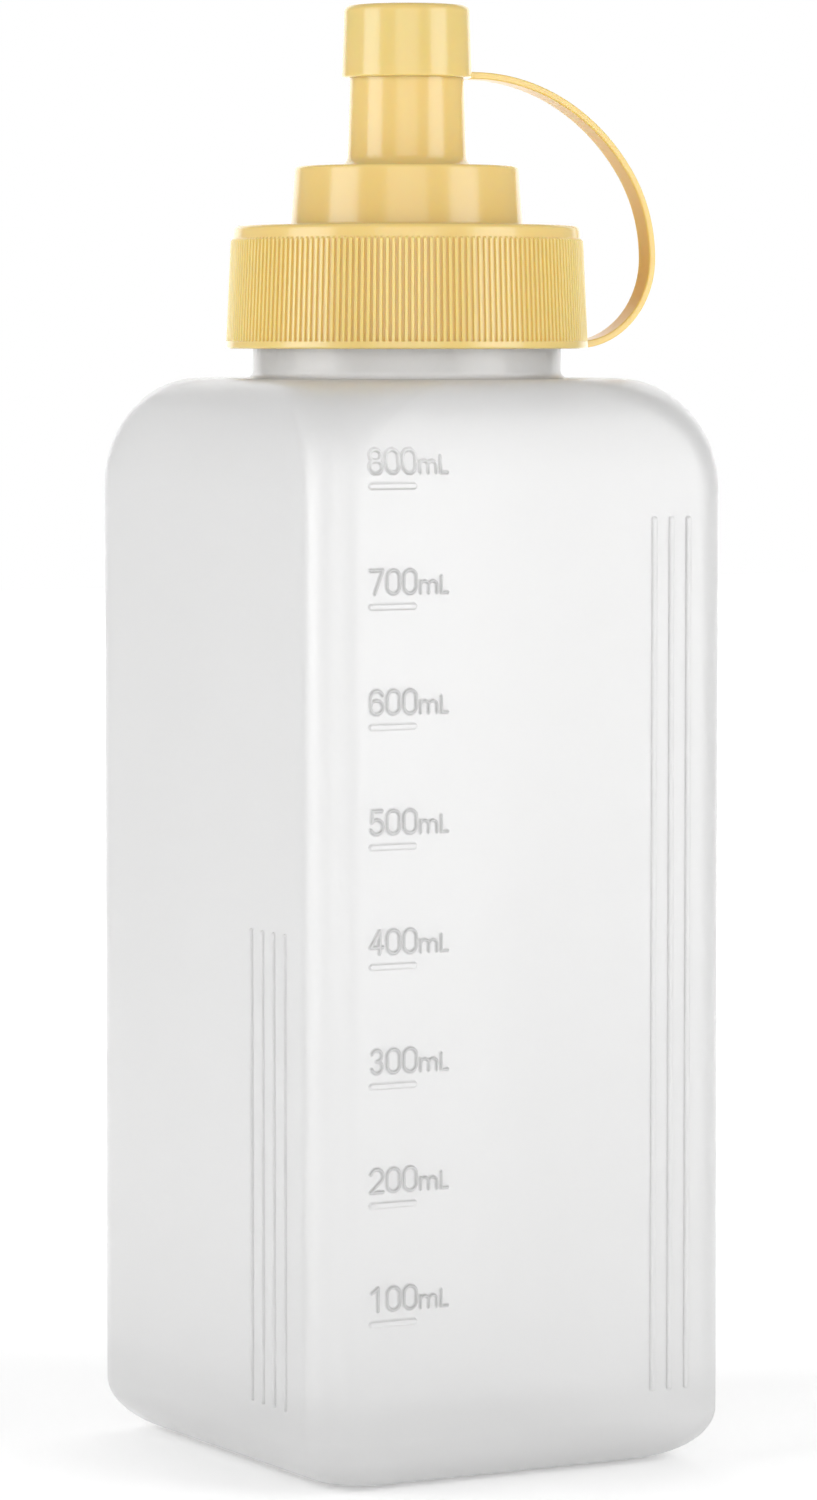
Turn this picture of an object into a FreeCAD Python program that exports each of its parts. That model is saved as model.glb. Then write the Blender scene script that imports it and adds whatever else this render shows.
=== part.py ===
import FreeCAD, Part
import math
import os

# Squeeze bottle of about 900 mL with a scale to 800 mL: a hollow rectangular bottle, a screw cap with
# a spout, and a tip cap on a strap.
# Millimetres, +Z up. The origin is the middle of the flat base, the scale is on the -Y face,
# and the strap runs out along +X.

# Bottle
body_width = 74.0             # along X
body_depth = 80.0             # along Y
body_height = 171.8           # base to the flat round the neck
corner_radius = 7.0           # upright edges
wall = 1.5
floor_thickness = 1.6
foot_run = 10.5               # how far the rounded foot reaches in from the wall
foot_rise = 8.5
shoulder_rise = 17.6
neck_ledge = 5.2              # neck to the edge of the flat round it, on the narrow way across
ledge_straight = 6.3          # half the straight stretch of that edge
round_sections = 9            # cross-sections that carry a rounding

# Neck
neck_radius = 24.6
neck_wall = 1.6
neck_height = 22.2            # body top to rim
neck_foot_fillet = 1.2

# Screw cap
neck_clearance = 1.3          # cap bore to neck
cap_top_thickness = 2.0       # the rim seats under this plate
cap_wall = 1.75
skirt_height = 19.5
skirt_draft = 0.046           # growth in radius for each millimetre down
skirt_edge_round = 0.8
plain_band = 2.1              # smooth band above the ribs
lip_margin = 0.05             # how much taller the smooth lip is than the strap that meets it
rib_count = 180
rib_depth = 0.38
rib_share = 0.58              # part of the pitch that the foot of a rib takes
rib_crest_share = 0.4         # part of the pitch that its crest takes

# Tier and spout of the screw cap
tier_radius = 18.5
tier_top_radius = 17.9
tier_height = 9.45
tier_edge_round = 0.6
spout_radius = 9.45           # at its foot
spout_tip_radius = 8.75
spout_foot_fillet = 1.8
spout_showing = 14.05         # tier to the tip cap's lower rim

# Tip cap
tip_clearance = 0.12          # cup to spout, at the cup's lower rim
tip_cap_wall = 1.2
tip_cap_height = 11.5
tip_cap_roof = 1.5
tip_cap_draft = 0.33          # how much wider the lower rim is than the top
tip_cap_round = 1.1

# Strap
strap_width = 3.7
strap_thickness = 1.15
strap_swing = 16.373          # skirt's lip to the strap's outermost point
strap_turn = 56.0             # degrees turned by the arc nearest the tip cap
strap_start = 1.6             # straight stretch out of the tip cap
strap_low_radius = 14.0       # arc that comes back to the skirt, at mid thickness

# Raised marks
mark_sink = 1.0               # how deep a mark is rooted in the wall
mark_volume = 100000.0        # mm3 from one bar of the scale to the next
scale_first = 27.0            # height of the first bar
scale_margin = 1.3            # rounded corner to the left end of the bars and numbers
scale_headroom = 9.0          # least height from a number to the body's top
scale_relief = 0.3
bar_length = 8.4
bar_width = 1.0
text_gap = 1.75               # middle of a bar to the foot of its number
stroke = 0.55
digit_width = 2.72
digit_height = 4.1
digit_gap = 0.2
unit_height = 2.35
unit_width = 3.4
unit_gap = 0.22
litre_height = 3.05
litre_width = 1.7
rib_width = 1.05
rib_relief = 0.45
rib_foot_room = 4.0           # rounded foot to the lower end of every rib
long_rib_count = 3
long_rib_pitch = 3.1
long_rib_margin = 1.7         # rounded corner to the middle of the nearest long rib
long_rib_room = 3.8           # upper end of the long ribs to the shoulder
short_rib_count = 4
short_rib_pitch = 3.7
short_rib_margin = 4.7
short_rib_length = 74.2

# Body sizes that follow from the sizes above
shoulder_run = body_width / 2 - neck_radius - neck_ledge
shoulder_top_radius = neck_radius + neck_ledge - ledge_straight
shoulder_start = body_height - shoulder_rise
room_inside = ((body_width - 2 * wall) * (body_depth - 2 * wall)
               - (4 - math.pi) * (corner_radius - wall) ** 2)
scale_step = mark_volume / room_inside
number_top = text_gap + digit_height
scale_count = 1 + int((body_height - scale_headroom - number_top - scale_first) / scale_step)
rib_bottom = foot_rise + rib_foot_room

# Heights that follow
neck_rim = body_height + neck_height
skirt_top = neck_rim + cap_top_thickness
skirt_bottom = skirt_top - skirt_height
tier_top = skirt_top + tier_height
tip_cap_bottom = tier_top + spout_showing
tip_cap_top = tip_cap_bottom + tip_cap_height
spout_rim = tip_cap_top - tip_cap_roof
lip_height = strap_thickness + lip_margin

# Radii that follow
cap_bore = neck_radius + neck_clearance
skirt_top_radius = cap_bore + cap_wall
lip_radius = skirt_top_radius + skirt_draft * skirt_height + rib_depth
strap_reach = lip_radius + strap_swing
spout_slope = (spout_radius - spout_tip_radius) / (spout_rim - tier_top)
tip_bore = spout_radius - spout_slope * spout_showing + tip_clearance
tip_cap_radius = tip_bore + tip_cap_wall

up = FreeCAD.Vector(0, 0, 1)
outwards = FreeCAD.Vector(0, -1, 0)
across = FreeCAD.Vector(0, 1, 0)
origin = FreeCAD.Vector(0, 0, 0)


def point(x, z):
    return FreeCAD.Vector(x, 0, z)


def line(start, end):
    return Part.makeLine(point(*start), point(*end))


def arc(centre, radius, start_angle, end_angle):
    angles = (start_angle, (start_angle + end_angle) / 2, end_angle)
    turns = [math.radians(angle) for angle in angles]
    return Part.Arc(*[point(centre[0] + radius * math.cos(turn),
                            centre[1] + radius * math.sin(turn)) for turn in turns]).toShape()


def revolved(profile):
    edges = [line(a, b) for a, b in zip(profile, profile[1:] + profile[:1])]
    return Part.Face(Part.Wire(edges)).revolve(origin, up, 360)


def rounded_rings(solid, rings):
    """Fillet the circular edges at each (radius, height) by its own fillet radius."""
    for ring_radius, height, fillet in rings:
        edges = [edge for edge in solid.Edges
                 if isinstance(edge.Curve, Part.Circle)
                 and abs(edge.Curve.Radius - ring_radius) < 0.01
                 and abs(edge.Curve.Center.z - height) < 0.01]
        solid = solid.makeFillet(fillet, edges)
    return solid


def cross_section(half_x, half_y, radius, height):
    """Closed outline of a rectangle with round corners."""
    edges = []
    corners = ((1, 1, 0), (-1, 1, 90), (-1, -1, 180), (1, -1, 270))
    for index, (side_x, side_y, angle) in enumerate(corners):
        centre = FreeCAD.Vector(side_x * (half_x - radius), side_y * (half_y - radius), height)
        turns = [math.radians(angle + part) for part in (0, 45, 90)]
        start, middle, end = [centre + FreeCAD.Vector(math.cos(turn), math.sin(turn), 0) * radius
                              for turn in turns]
        edges.append(Part.Arc(start, middle, end).toShape())
        next_x, next_y, next_angle = corners[(index + 1) % 4]
        next_centre = FreeCAD.Vector(next_x * (half_x - radius), next_y * (half_y - radius), height)
        turn = math.radians(next_angle)
        next_start = next_centre + FreeCAD.Vector(math.cos(turn), math.sin(turn), 0) * radius
        edges.append(Part.makeLine(end, next_start))
    return Part.Wire(edges)


def body_form(inset):
    """The bottle's body without its neck, with every wall moved inwards by inset."""
    bottom = floor_thickness if inset > 0 else 0
    half_x = body_width / 2 - inset
    half_y = body_depth / 2 - inset
    radius = corner_radius - inset
    top_radius = shoulder_top_radius - inset
    foot = []
    shoulder = []
    for index in range(round_sections + 1):
        turn = math.pi / 2 * index / round_sections
        near_wall = 1 - math.sin(turn)
        run = foot_run * near_wall
        height = bottom + (foot_rise - bottom) * (1 - math.cos(turn))
        foot.append(cross_section(half_x - run, half_y - run, radius, height))
        near_top = 1 - math.cos(turn)
        run = shoulder_run * near_top
        height = shoulder_start + (shoulder_rise - inset) * math.sin(turn)
        shoulder.append(cross_section(half_x - run, half_y - run,
                                      radius + (top_radius - radius) * near_top, height))
    trunk = Part.Face(foot[-1]).extrude(up * (shoulder_start - foot_rise))
    return trunk.fuse([Part.makeLoft(foot, True, False), Part.makeLoft(shoulder, True, False)])


def arc_end(centre, radius, angle):
    return (centre[0] + radius * math.cos(math.radians(angle)),
            centre[1] + radius * math.sin(math.radians(angle)))


def capsule(start, end, width):
    """Flat outline of a straight stroke with round ends."""
    radius = width / 2
    heading = math.degrees(math.atan2(end[1] - start[1], end[0] - start[0]))
    right = [arc_end(centre, radius, heading - 90) for centre in (start, end)]
    left = [arc_end(centre, radius, heading + 90) for centre in (end, start)]
    return Part.Face(Part.Wire([line(*right), arc(end, radius, heading - 90, heading + 90),
                                line(*left), arc(start, radius, heading + 90, heading + 270)]))


def raised(outline, relief, half_depth):
    """Outline pushed out of the -Y face that lies half_depth from the middle."""
    mark = outline.extrude(outwards * (relief + mark_sink))
    mark.translate(outwards * (half_depth - mark_sink))
    return mark


def upright_ribs(count, pitch, outermost, top, half_depth):
    """Ribs side by side, from the outermost towards the middle of the face."""
    ribs = []
    for index in range(count):
        place = outermost - pitch * index
        ends = [(place, rib_bottom + rib_width / 2), (place, top - rib_width / 2)]
        ribs.append(raised(capsule(*ends, rib_width), rib_relief, half_depth))
    return ribs


def ring(left, bottom, width, height):
    """Edges of an upright or lying oval: two half circles joined by straight lines."""
    radius = min(width, height) / 2
    if height > width:
        low = (left + radius, bottom + radius)
        high = (left + radius, bottom + height - radius)
        return [line((left, low[1]), (left, high[1])), arc(high, radius, 180, 0),
                line((left + width, high[1]), (left + width, low[1])), arc(low, radius, 0, -180)]
    first = (left + radius, bottom + radius)
    last = (left + width - radius, bottom + radius)
    return [arc(first, radius, 270, 90), line((first[0], bottom + height), (last[0], bottom + height)),
            arc(last, radius, 90, -90), line((last[0], bottom), (first[0], bottom))]


def chain(*points):
    return [line(a, b) for a, b in zip(points, points[1:])]


def glyph_strokes(character):
    """Middle lines of a character's strokes, each a list of joined edges."""
    width = digit_width - stroke
    height = digit_height - stroke
    radius = width / 2
    if character == "0":
        return [ring(0, 0, width, height)]
    if character == "1":
        return [chain((0.1 * width, 0.78 * height), (0.6 * width, height), (0.6 * width, 0))]
    if character == "2":
        bowl = (radius, height - radius)
        return [[arc(bowl, radius, 165, -35)] + chain(arc_end(bowl, radius, -35), (0, 0), (width, 0))]
    if character == "3":
        small = 0.24 * height
        large = 0.26 * height
        upper = (radius, height - small)
        lower = (radius, large)
        return [[arc(upper, small, 160, -90)], [arc(lower, large, 90, -160)]]
    if character == "4":
        post = 0.74 * width
        bar_height = 0.28 * height
        return [chain((post, 0), (post, height), (0, bar_height)),
                chain((0, bar_height), (width, bar_height))]
    if character == "5":
        bowl = (radius, 0.31 * height)
        bend = arc_end(bowl, bowl[1], 140)
        return [chain((0.92 * width, height), (0.16 * width, height), bend)
                + [arc(bowl, bowl[1], 140, -155)]]
    if character == "6":
        crown = (radius, height - radius)
        return [ring(0.03 * width, 0, 0.97 * width, 0.58 * height),
                chain((0, 0.29 * height), (0, crown[1])) + [arc(crown, radius, 180, 20)]]
    if character == "9":
        middle = point(width / 2, height / 2)
        return [[edge.rotated(middle, across, 180) for edge in edges] for edges in glyph_strokes("6")]
    if character == "7":
        return [chain((0, height), (width, height), (0.36 * width, 0))]
    if character == "8":
        waist = 0.53 * height
        return [ring(0, 0, width, waist), ring(0.06 * width, waist, 0.88 * width, height - waist)]
    if character == "m":
        pitch = (unit_width - stroke) / 2
        shoulder = unit_height - stroke - pitch / 2
        arches = [[arc((pitch * (step + 0.5), shoulder), pitch / 2, 180, 0)]
                  + chain((pitch * (step + 1), shoulder), (pitch * (step + 1), 0)) for step in (0, 1)]
        return [chain((0, 0), (0, unit_height - stroke))] + arches
    return [chain((0, litre_height - stroke), (0, 0), (litre_width - stroke, 0))]


def stroke_outline(edges):
    """Flat outline of one stroke, with round ends or closed round its middle line."""
    if len(edges) == 1:
        ends = [(vertex.X, vertex.Z) for vertex in edges[0].Vertexes]
        return capsule(*ends, stroke)
    middle_line = Part.Wire(edges)
    if not middle_line.isClosed():
        return Part.Face(middle_line.makeOffset2D(stroke / 2, 0, False, False, False))
    rims = [Part.Face(middle_line.makeOffset2D(side * stroke / 2)) for side in (1, -1)]
    inner, outer = sorted(rims, key=lambda face: face.Area)
    return outer.cut(inner)


def scale_marks():
    """A bar and a number with its unit for each step, all as proud as the face they stand on."""
    left = corner_radius + scale_margin - body_width / 2
    marks = []
    for step in range(scale_count):
        height = scale_first + scale_step * step
        ends = [(left + bar_width / 2, height), (left + bar_length - bar_width / 2, height)]
        outlines = [capsule(*ends, bar_width)]
        place = left + stroke / 2
        for character in str(step + 1) + "00mL":
            for edges in glyph_strokes(character):
                outline = stroke_outline(edges)
                outline.translate(point(place, height + text_gap + stroke / 2))
                outlines.append(outline)
            place += unit_width + unit_gap if character == "m" else digit_width + digit_gap
        marks += [raised(outline, scale_relief, body_depth / 2) for outline in outlines]
    return marks[0].fuse(marks[1:]).common(body_form(-scale_relief))


def grip_ribs():
    """Long ribs on the scale face and its back, short ones on the sides, in turned pairs."""
    long_ribs = upright_ribs(long_rib_count, long_rib_pitch,
                             body_width / 2 - corner_radius - long_rib_margin,
                             shoulder_start - long_rib_room, body_depth / 2)
    short_ribs = upright_ribs(short_rib_count, short_rib_pitch,
                              body_depth / 2 - corner_radius - short_rib_margin,
                              rib_bottom + short_rib_length, body_width / 2)
    for rib in short_ribs:
        rib.rotate(origin, up, -90)
    ribs = long_ribs + short_ribs
    return ribs + [rib.rotated(origin, up, 180) for rib in ribs]


def bottle():
    neck = Part.makeCylinder(neck_radius, neck_height + wall, point(0, body_height - wall))
    outside = body_form(0).fuse(neck)
    outside = rounded_rings(outside, [(neck_radius, body_height, neck_foot_fillet)])
    mouth = Part.makeCylinder(neck_radius - neck_wall, neck_height + 2 * wall,
                              point(0, body_height - 2 * wall))
    shell = outside.cut(body_form(wall).fuse(mouth))
    return shell.fuse([scale_marks()] + grip_ribs())


def toothed_outline(root, height):
    """Closed outline with one flat-topped tooth for each rib."""
    corners = []
    for index in range(rib_count):
        for radius, place in ((root, -rib_share), (root + rib_depth, -rib_crest_share),
                              (root + rib_depth, rib_crest_share), (root, rib_share)):
            turn = 2 * math.pi * (index + place / 2) / rib_count
            corners.append(FreeCAD.Vector(radius * math.cos(turn), radius * math.sin(turn), height))
    return Part.makePolygon(corners + corners[:1])


def skirt_root(height):
    """Radius of the skirt between its ribs."""
    return skirt_top_radius + skirt_draft * (skirt_top - height)


def screw_cap():
    inside = tier_top_radius - cap_wall
    bore = spout_tip_radius - cap_wall
    body = revolved([(cap_bore, skirt_bottom), (skirt_root(skirt_bottom), skirt_bottom),
                     (skirt_top_radius, skirt_top), (tier_radius, skirt_top),
                     (tier_top_radius, tier_top), (spout_radius, tier_top),
                     (spout_tip_radius, spout_rim), (bore, spout_rim), (bore, tier_top - cap_wall),
                     (inside, tier_top - cap_wall), (inside, neck_rim), (cap_bore, neck_rim)])
    body = rounded_rings(body, [(skirt_top_radius, skirt_top, skirt_edge_round),
                                (tier_top_radius, tier_top, tier_edge_round),
                                (spout_radius, tier_top, spout_foot_fillet)])
    lip_top = skirt_bottom + lip_height
    rib_top = skirt_top - plain_band
    ribs = Part.makeLoft([toothed_outline(skirt_root(lip_top), lip_top),
                          toothed_outline(skirt_root(rib_top), rib_top)], True, True)
    lip = Part.makeCylinder(lip_radius, lip_height, point(0, skirt_bottom))
    core = Part.makeCylinder(cap_bore, skirt_height, point(0, skirt_bottom))
    return body.fuse([ribs.cut(core), lip.cut(core)])


def strap_edges():
    """Middle line of the strap from the tip cap out, down and back to the skirt.

    Three arcs turn it by strap_turn, by the rest of a right angle and by a right angle. The first
    two radii are what makes the line as wide and as high as it has to be.
    """
    half = strap_thickness / 2
    start = (tip_cap_radius - tip_cap_wall / 2, tip_cap_bottom + half)
    bend = (tip_cap_radius + strap_start, start[1])
    reach = strap_reach - half
    low = skirt_bottom + half
    turn = math.radians(strap_turn)
    across = reach - bend[0]
    down = bend[1] - low - strap_low_radius
    scale = math.sin(turn) + math.cos(turn) - 1
    top_radius = (across * math.cos(turn) - down * (1 - math.sin(turn))) / scale
    side_radius = (down * math.sin(turn) - across * (1 - math.cos(turn))) / scale
    top_centre = (bend[0], bend[1] - top_radius)
    side_centre = (reach - side_radius, low + strap_low_radius)
    low_centre = (reach - strap_low_radius, low + strap_low_radius)
    return [line(start, bend),
            arc(top_centre, top_radius, 90, 90 - strap_turn),
            arc(side_centre, side_radius, 90 - strap_turn, 0),
            arc(low_centre, strap_low_radius, 0, -90),
            line((low_centre[0], low), (skirt_top_radius, low))]


def strap():
    path = Part.Wire(strap_edges())
    start = path.Edges[0].Vertexes[0].Point
    half_width = FreeCAD.Vector(0, strap_width / 2, 0)
    half_thickness = up * (strap_thickness / 2)
    section = Part.makePolygon([start - half_width - half_thickness, start + half_width - half_thickness,
                                start + half_width + half_thickness, start - half_width + half_thickness,
                                start - half_width - half_thickness])
    band = path.makePipeShell([section], True, False)
    skirt_room = Part.makeCylinder(lip_radius, skirt_height, point(0, skirt_bottom))
    return band.cut(skirt_room)


def tip_cap():
    cup = revolved([(0, spout_rim), (tip_bore, spout_rim), (tip_bore, tip_cap_bottom),
                    (tip_cap_radius, tip_cap_bottom), (tip_cap_radius - tip_cap_draft, tip_cap_top),
                    (0, tip_cap_top)])
    cup = rounded_rings(cup, [(tip_cap_radius - tip_cap_draft, tip_cap_top, tip_cap_round)])
    return cup.fuse(strap())


def main():
    os.makedirs("parts", exist_ok=True)
    for name, make in (("bottle", bottle), ("screw_cap", screw_cap), ("tip_cap", tip_cap)):
        shape = make()
        print(name, "solids", len(shape.Solids), "valid", shape.isValid(), "mm3", round(shape.Volume, 1))
        shape.exportStep(os.path.join("parts", name + ".step"))


main()
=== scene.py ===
import math

import bpy
import numpy as np
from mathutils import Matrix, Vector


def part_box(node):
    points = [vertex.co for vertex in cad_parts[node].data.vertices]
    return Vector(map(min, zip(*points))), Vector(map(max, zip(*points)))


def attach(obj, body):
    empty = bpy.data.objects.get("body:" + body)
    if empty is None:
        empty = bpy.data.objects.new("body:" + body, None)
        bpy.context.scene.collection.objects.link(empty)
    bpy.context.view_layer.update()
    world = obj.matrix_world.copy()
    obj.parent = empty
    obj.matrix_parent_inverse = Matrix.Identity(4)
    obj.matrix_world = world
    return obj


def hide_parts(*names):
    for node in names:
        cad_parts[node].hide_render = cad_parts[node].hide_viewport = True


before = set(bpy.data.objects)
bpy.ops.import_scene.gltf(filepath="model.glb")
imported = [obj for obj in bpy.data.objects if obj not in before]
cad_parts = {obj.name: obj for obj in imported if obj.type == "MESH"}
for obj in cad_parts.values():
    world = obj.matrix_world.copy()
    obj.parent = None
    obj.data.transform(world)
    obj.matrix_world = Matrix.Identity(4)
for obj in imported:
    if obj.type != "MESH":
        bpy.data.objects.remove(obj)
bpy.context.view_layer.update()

# An empty, milky squeeze bottle with a raised scale, a pale yellow screw cap with a spout,
# and a tip cap on a strap. Metres, +Z up, scale on the -Y side, strap towards +X.

_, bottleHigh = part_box("bottle")
capLow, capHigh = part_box("screw_cap")
_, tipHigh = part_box("tip_cap")


# Normals of a grid of points: the cross product of the steps along its columns and its rows.
# Columns close on themselves where closed is true.
def gridNormals(points, closed):
    if closed:
        alongColumns = np.roll(points, -1, axis=1) - np.roll(points, 1, axis=1)
    else:
        alongColumns = np.gradient(points, axis=1)
    alongRows = np.gradient(points, axis=0)
    normals = np.cross(alongColumns, alongRows)
    return normals / np.maximum(np.linalg.norm(normals, axis=-1, keepdims=True), 1e-12)


# Faces between the neighbouring rows and columns of a grid of vertex numbers.
def gridFaces(index, closed):
    ahead = np.roll(index, -1, axis=1) if closed else index[:, 1:]
    here = index if closed else index[:, :-1]
    return np.stack([here[:-1], ahead[:-1], ahead[1:], here[1:]], axis=-1).reshape(-1, 4)


# Joins a fine closed row to a coarse one: each fine vertex takes the coarse vertex beside it,
# and a quad whose two coarse corners are the same vertex becomes a triangle.
def stitchFaces(fine, coarse, coarseAbove):
    beside = coarse[np.round(np.arange(len(fine)) * len(coarse) / len(fine)).astype(int) % len(coarse)]
    rows = [fine, beside] if coarseAbove else [beside, fine]
    return gridFaces(np.array(rows), True)


# One mesh from points, normals and faces of four corners. Where two corners fall together the
# face is a triangle, and a face with less than three corners is left out.
def buildPiece(name, points, normals, faces, material, nodeName):
    doubled = faces == np.roll(faces, -1, axis=1)
    whole = doubled.sum(axis=1) < 2
    faces, keep = faces[whole], ~doubled[whole]
    counts = keep.sum(axis=1)
    used, corners = np.unique(faces[keep], return_inverse=True)
    points, normals = points[used], normals[used]
    mesh = bpy.data.meshes.new(name)
    mesh.vertices.add(len(points))
    mesh.vertices.foreach_set("co", points.astype(np.float32).ravel())
    mesh.loops.add(len(corners))
    mesh.loops.foreach_set("vertex_index", corners.astype(np.int32).ravel())
    mesh.polygons.add(len(faces))
    mesh.polygons.foreach_set("loop_start", (np.cumsum(counts) - counts).astype(np.int32))
    mesh.update(calc_edges=True)
    mesh.validate()
    mesh.polygons.foreach_set("use_smooth", np.ones(len(mesh.polygons), bool))
    mesh.normals_split_custom_set_from_vertices(normals.tolist())
    mesh.materials.append(material)
    piece = bpy.data.objects.new(name, mesh)
    bpy.context.scene.collection.objects.link(piece)
    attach(piece, "root")
    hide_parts(nodeName)
    print(name, "vertices", len(points), "faces", len(faces))
    return piece


# Vertices and faces of a piece, gathered grid by grid.
class Shell:
    def __init__(self):
        self.points, self.normals, self.faces, self.count = [], [], [], 0

    # Gives back the numbers of the new vertices, in the shape of the grid of points.
    def addPoints(self, points, normals):
        first = self.count
        self.points.append(points.reshape(-1, 3))
        self.normals.append(normals.reshape(-1, 3))
        self.count += points[..., 0].size
        return first + np.arange(points[..., 0].size).reshape(points.shape[:-1])

    def addFaces(self, faces):
        self.faces.append(faces)

    # Closes a row of vertices with triangles to one point.
    def addPole(self, centre, normal, row, poleFirst):
        pole = self.addPoints(np.array([centre]), np.array([normal]))
        ring = np.full(row.shape, pole[0])
        self.addFaces(gridFaces(np.array([ring, row] if poleFirst else [row, ring]), True))

    def piece(self, name, material, slotName, nodeName):
        return buildPiece(name, np.concatenate(self.points), np.concatenate(self.normals),
                          np.concatenate(self.faces), material, nodeName)


def newMaterial(name):
    material = bpy.data.materials.new(name)
    material.use_nodes = True
    nodes, links = material.node_tree.nodes, material.node_tree.links
    return material, nodes, links, nodes["Principled BSDF"]


# Noise in the object's own coordinates, size in metres from one lump to the next.
def noiseNode(nodes, links, size, detail):
    place = nodes.new("ShaderNodeTexCoord")
    noise = nodes.new("ShaderNodeTexNoise")
    noise.inputs["Scale"].default_value = 1 / size
    noise.inputs["Detail"].default_value = detail
    links.new(place.outputs["Object"], noise.inputs["Vector"])
    return noise


# Spreads the part of the noise's range where most of it lies, 0.3 to 0.7, over low to high.
def rangeNode(nodes, links, source, low, high):
    spread = nodes.new("ShaderNodeMapRange")
    for name, value in zip(("From Min", "From Max", "To Min", "To Max"), (0.3, 0.7, low, high)):
        spread.inputs[name].default_value = value
    links.new(source, spread.inputs["Value"])
    return spread.outputs["Result"]


# A smooth change from the first to the second result between two values of the source.
def fadeNode(nodes, links, source, values, results):
    fade = nodes.new("ShaderNodeMapRange")
    fade.interpolation_type = "SMOOTHSTEP"
    for name, value in zip(("From Min", "From Max", "To Min", "To Max"), values + results):
        fade.inputs[name].default_value = value
    links.new(source, fade.inputs["Value"])
    return fade.outputs["Result"]


# One operation on two values, each a number or another node's result.
def mathNode(nodes, links, operation, first, second):
    node = nodes.new("ShaderNodeMath")
    node.operation = operation
    for number, value in enumerate((first, second)):
        if isinstance(value, (int, float)):
            node.inputs[number].default_value = value
        else:
            links.new(value, node.inputs[number])
    return node.outputs["Value"]


# The fine grain that the mould leaves on the surface.
def addGrain(nodes, links, shader, sizes):
    grain = noiseNode(nodes, links, sizes["grainSize"], sizes["grainDetail"])
    bump = nodes.new("ShaderNodeBump")
    bump.inputs["Distance"].default_value = sizes["grainHeight"]
    bump.inputs["Strength"].default_value = sizes["grainStrength"]
    links.new(grain.outputs["Fac"], bump.inputs["Height"])
    links.new(bump.outputs["Normal"], shader.inputs["Normal"])


# A colour that drifts from the first to the second with the noise.
def tintNode(nodes, links, noise, first, second):
    tint = nodes.new("ShaderNodeMix")
    tint.data_type = "RGBA"
    tint.inputs["A"].default_value = first
    tint.inputs["B"].default_value = second
    links.new(noise.outputs["Fac"], tint.inputs["Factor"])
    return tint.outputs["Result"]


frosted = {
    "color": (0.985, 0.984, 0.983, 1.0),
    "cloudColor": (0.972, 0.971, 0.97, 1.0),
    "cloudSize": 0.03,
    "cloudDetail": 2.0,
    "grainSize": 0.0009,
    "grainDetail": 3.0,
    "grainHeight": 0.00001,
    "grainStrength": 0.5,
    "roughness": (0.28, 0.31),
    "transmission": 0.6,
    "refraction": 1.5,
    "shine": 0.28,                        # strength of the reflections
    "paintedFigureShade": 0.72,                      # painted shade on the raised figures: their colour keeps this share
    "figureEdge": (0.6, 0.1),             # the painted shade fades from full to none between these shares of their relief
    "base": (0.0165, 0.0115, 0.95),       # painted shade low down: between these heights the wall's colour fades to this share
}


# How much of the colour is left, as painted shade: 1 on the plain wall, a little less low down, where the
# thick base is behind it, and on the raised figures, which are found by their place on the front.
def wallShade(nodes, links, sizes):
    place = nodes.new("ShaderNodeTexCoord")
    parts = nodes.new("ShaderNodeSeparateXYZ")
    links.new(place.outputs["Object"], parts.inputs["Vector"])
    x, y, z = [parts.outputs[axis] for axis in "XYZ"]
    top, bottom, shade = sizes["base"]
    # painted shade low down, where the thick base is behind the wall
    base = fadeNode(nodes, links, z, (bottom, top), (shade, 1))
    phase = mathNode(nodes, links, "SUBTRACT", z, scale["firstBar"] + scale["textGap"] / 2)
    phase = mathNode(nodes, links, "FLOORED_MODULO", phase, scale["step"])
    row = mathNode(nodes, links, "LESS_THAN", phase, scale["textGap"] + scale["digitHeight"])
    left = mathNode(nodes, links, "LESS_THAN", x, 0)
    depths = tuple(-body["halfY"] - scale["relief"] * share for share in sizes["figureEdge"])
    # painted shade on the raised figures of the scale
    figureShadeMask = fadeNode(nodes, links, y, depths, (1 - sizes["paintedFigureShade"], 0))
    figureShadeMask = mathNode(nodes, links, "MULTIPLY", figureShadeMask, mathNode(nodes, links, "MULTIPLY", row, left))
    return mathNode(nodes, links, "MULTIPLY", base, mathNode(nodes, links, "SUBTRACT", 1, figureShadeMask))


# Soft polyethylene: milky, with a fine grain, faint clouds in the wall, and painted shade low down and on
# the raised figures.
def frostedPlastic(sizes):
    material, nodes, links, shader = newMaterial("frostedPlastic")
    clouds = noiseNode(nodes, links, sizes["cloudSize"], sizes["cloudDetail"])
    shaded = nodes.new("ShaderNodeVectorMath")
    shaded.operation = "SCALE"
    links.new(tintNode(nodes, links, clouds, sizes["cloudColor"], sizes["color"]), shaded.inputs["Vector"])
    # painted shade: the colour is darkened low down and on the raised figures
    links.new(wallShade(nodes, links, sizes), shaded.inputs["Scale"])
    links.new(shaded.outputs["Vector"], shader.inputs["Base Color"])
    links.new(rangeNode(nodes, links, clouds.outputs["Fac"], *sizes["roughness"]),
              shader.inputs["Roughness"])
    addGrain(nodes, links, shader, sizes)
    shader.inputs["Transmission Weight"].default_value = sizes["transmission"]
    shader.inputs["IOR"].default_value = sizes["refraction"]
    shader.inputs["Specular IOR Level"].default_value = sizes["shine"]
    print("material", material.name)
    return material


yellow = {
    "name": "yellowPlastic",
    "color": (0.785, 0.58, 0.212, 1.0),
    "flowColor": (0.775, 0.568, 0.204, 1.0),
    "flowSize": 0.02,
    "flowDetail": 3.0,
    "grainSize": 0.0006,
    "grainDetail": 3.0,
    "grainHeight": 0.000002,
    "grainStrength": 0.4,
    "roughness": (0.17, 0.21),
    "shine": 0.55,                        # strength of the reflections
    "shineColor": (0.75, 0.88, 1.0, 1.0),
    "glow": (0.55, 0.0025),               # how much light scatters in the wall, and how far
    "glowReach": (1.0, 0.65, 0.25),       # the same for red, green and blue
}
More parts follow.
